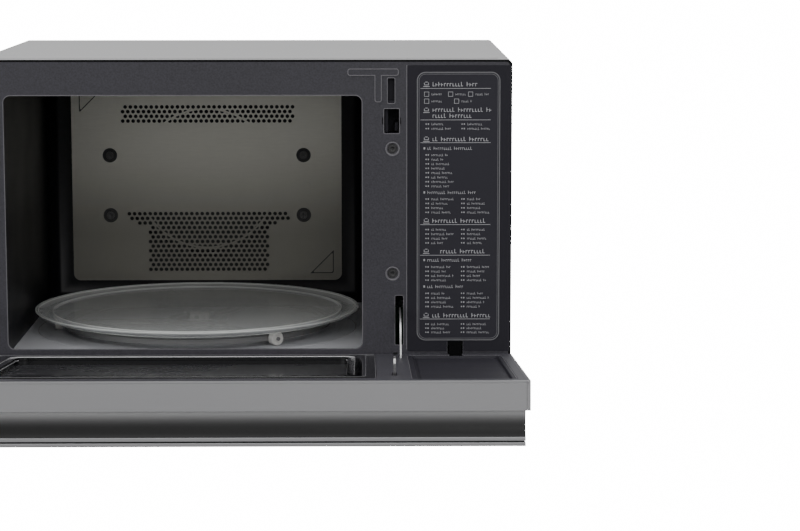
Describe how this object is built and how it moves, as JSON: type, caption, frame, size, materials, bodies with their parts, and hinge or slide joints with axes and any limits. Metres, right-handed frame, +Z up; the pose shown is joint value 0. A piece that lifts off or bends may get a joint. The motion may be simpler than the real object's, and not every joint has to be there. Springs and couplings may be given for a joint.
{
  "type": "microwave oven",
  "caption": "Free-standing convection microwave oven with a drop-down door, a glass turntable on rollers and a control panel carried in the door.",
  "frame": {"origin": "on the surface it stands on, under the middle of the oven's box with the door open", "axes": "+Z up, -Y towards the user and the open door, +X to the user's right"},
  "size_m": [0.54, 0.763, 0.33],
  "materials": {
    "cabinet_silver": "satin silver-grey paint",
    "frame_dark": "dark slate satin paint",
    "panel_plastic": "fine dark grey plastic",
    "pad_plastic": "dark plate with pale print",
    "zinc_steel": "galvanised sheet",
    "enamel_black": "black enamel",
    "stainless_warm": "brushed stainless",
    "bright_steel": "bright steel",
    "motor_black": "black",
    "heater_steel": "oxidised sheath",
    "mica": "mica sheet",
    "board_green": "circuit board",
    "duct_plastic": "natural plastic",
    "white_plastic": "white plastic",
    "clear_glass": "clear glass",
    "black_glass": "black glass",
    "gloss_black": "gloss black",
    "door_silver": "brushed silver",
    "rubber_black": "black rubber",
    "lamp_glass": "lamp glass"
  },
  "bodies": {
    "body": {"air_duct": "duct_plastic", "back_panel": "zinc_steel", "back_plate_screws": "bright_steel", "base_plate": "zinc_steel", "case_screws": "bright_steel", "cavity_back_plate": "stainless_warm", "cavity_lamp": "lamp_glass", "cavity_shell": "enamel_black", "convection_heater": "heater_steel", "convection_motor": "motor_black", "cooling_motor": "motor_black", "cooling_shroud": "duct_plastic", "cord_gland": "rubber_black", "fan_chamber": "zinc_steel", "feet": "rubber_black", "front_frame": "frame_dark", "grill_heater": "heater_steel", "harness_strap": "panel_plastic", "hinge_brackets": "zinc_steel", "interlock_switches": "motor_black", "inverter_board": "board_green", "latch_boards": "white_plastic", "magnetron": "bright_steel", "menu_pad": "pad_plastic", "outer_cabinet": "cabinet_silver", "rear_fan_cover": "zinc_steel", "right_panel": "panel_plastic", "screw_cups": "panel_plastic", "turntable_motor": "bright_steel", "waveguide": "zinc_steel", "waveguide_cover": "mica"},
    "door": {"door_inner_frame": "frame_dark", "hinge_pins": "bright_steel", "choke_cover": "gloss_black", "inner_window_glass": "clear_glass", "door_chassis": "zinc_steel", "window_screen": "zinc_steel", "door_arms": "bright_steel", "latch_pivots": "bright_steel", "control_tray": "panel_plastic", "control_board": "board_green", "outer_door_glass": "black_glass", "display_window": "black_glass", "door_trim": "door_silver", "handle_bar": "door_silver", "handle_lips": "door_silver", "handle_seam": "panel_plastic"},
    "latch_hook_right": {"latch_hook_right": "bright_steel"},
    "latch_hook_left": {"latch_hook_left": "bright_steel"},
    "dial": {"dial_knob": "door_silver"},
    "start_button": {"start_button": "door_silver"},
    "stop_button": {"stop_button": "door_silver"},
    "coupling": {"drive_coupling": "white_plastic"},
    "turntable": {"turntable_plate": "clear_glass"},
    "ring": {"roller_ring": "white_plastic"},
    "wheel_1": {"roller_wheel_1": "white_plastic"},
    "wheel_2": {"roller_wheel_2": "white_plastic"},
    "wheel_3": {"roller_wheel_3": "white_plastic"},
    "cooling_fan": {"cooling_fan": "duct_plastic"},
    "convection_fan": {"convection_fan": "bright_steel"}
  },
  "joints": [
    {"name": "door_hinge", "type": "hinge", "parent": "body", "child": "door", "pos_m": [0, -0.07555, 0.028], "axis": [-1, 0, 0], "range_deg": [0, 84.4]},
    {"name": "latch_right", "type": "hinge", "parent": "door", "child": "latch_hook_right", "pos_m": [0.149, -0.30357, 0.04915], "axis": [-1, 0, 0], "range_deg": [-9, 0], "stiffness_Nm_per_rad": 0.3, "springref_deg": 17.19},
    {"name": "latch_left", "type": "hinge", "parent": "door", "child": "latch_hook_left", "pos_m": [-0.254, -0.30357, 0.04915], "axis": [-1, 0, 0], "range_deg": [-9, 0], "stiffness_Nm_per_rad": 0.3, "springref_deg": 17.19},
    {"name": "turntable_spin", "type": "hinge", "parent": "body", "child": "coupling", "pos_m": [-0.06, 0.11445, 0.035], "axis": [0, 0, 1], "continuous": true},
    {"name": "turntable_lift", "type": "slide", "parent": "coupling", "child": "turntable", "axis": [0, 0, 1], "range_m": [0, 0.05]},
    {"name": "ring_spin", "type": "hinge", "parent": "body", "child": "ring", "pos_m": [-0.06, 0.11445, 0.0365], "axis": [0, 0, 1], "continuous": true},
    {"name": "wheel_1_spin", "type": "hinge", "parent": "ring", "child": "wheel_1", "pos_m": [0.02901, -0.00628, 0.0365], "axis": [0.5934, -0.8049, 0], "continuous": true},
    {"name": "wheel_2_spin", "type": "hinge", "parent": "ring", "child": "wheel_2", "pos_m": [0.00005, 0.25191, 0.0365], "axis": [0.4003, 0.9164, 0], "continuous": true},
    {"name": "wheel_3_spin", "type": "hinge", "parent": "ring", "child": "wheel_3", "pos_m": [-0.20907, 0.09773, 0.0365], "axis": [-0.9938, -0.1115, 0], "continuous": true},
    {"name": "convection_fan_spin", "type": "hinge", "parent": "body", "child": "convection_fan", "pos_m": [-0.062, 0.30045, 0.172], "axis": [0, 1, 0], "continuous": true},
    {"name": "cooling_fan_spin", "type": "hinge", "parent": "body", "child": "cooling_fan", "pos_m": [0.2, 0.30845, 0.11], "axis": [0, 1, 0], "continuous": true},
    {"name": "dial_turn", "type": "hinge", "parent": "door", "child": "dial", "pos_m": [0.213, -0.22737, 0.01676], "axis": [0, -0.0976, -0.9952], "continuous": true},
    {"name": "start_press", "type": "slide", "parent": "door", "child": "start_button", "axis": [0, 0.0976, 0.9952], "range_m": [0, 0.0008], "stiffness_N_per_m": 900, "springref_m": -0.001},
    {"name": "stop_press", "type": "slide", "parent": "door", "child": "stop_button", "axis": [0, 0.0976, 0.9952], "range_m": [0, 0.0008], "stiffness_N_per_m": 900, "springref_m": -0.001}
  ],
  "couplings": [
    {"joint": "ring_spin", "follows": "turntable_spin", "ratio": 0.5},
    {"joint": "wheel_1_spin", "follows": "turntable_spin", "ratio": -10.417},
    {"joint": "wheel_2_spin", "follows": "turntable_spin", "ratio": -10.417},
    {"joint": "wheel_3_spin", "follows": "turntable_spin", "ratio": -10.417}
  ]
}
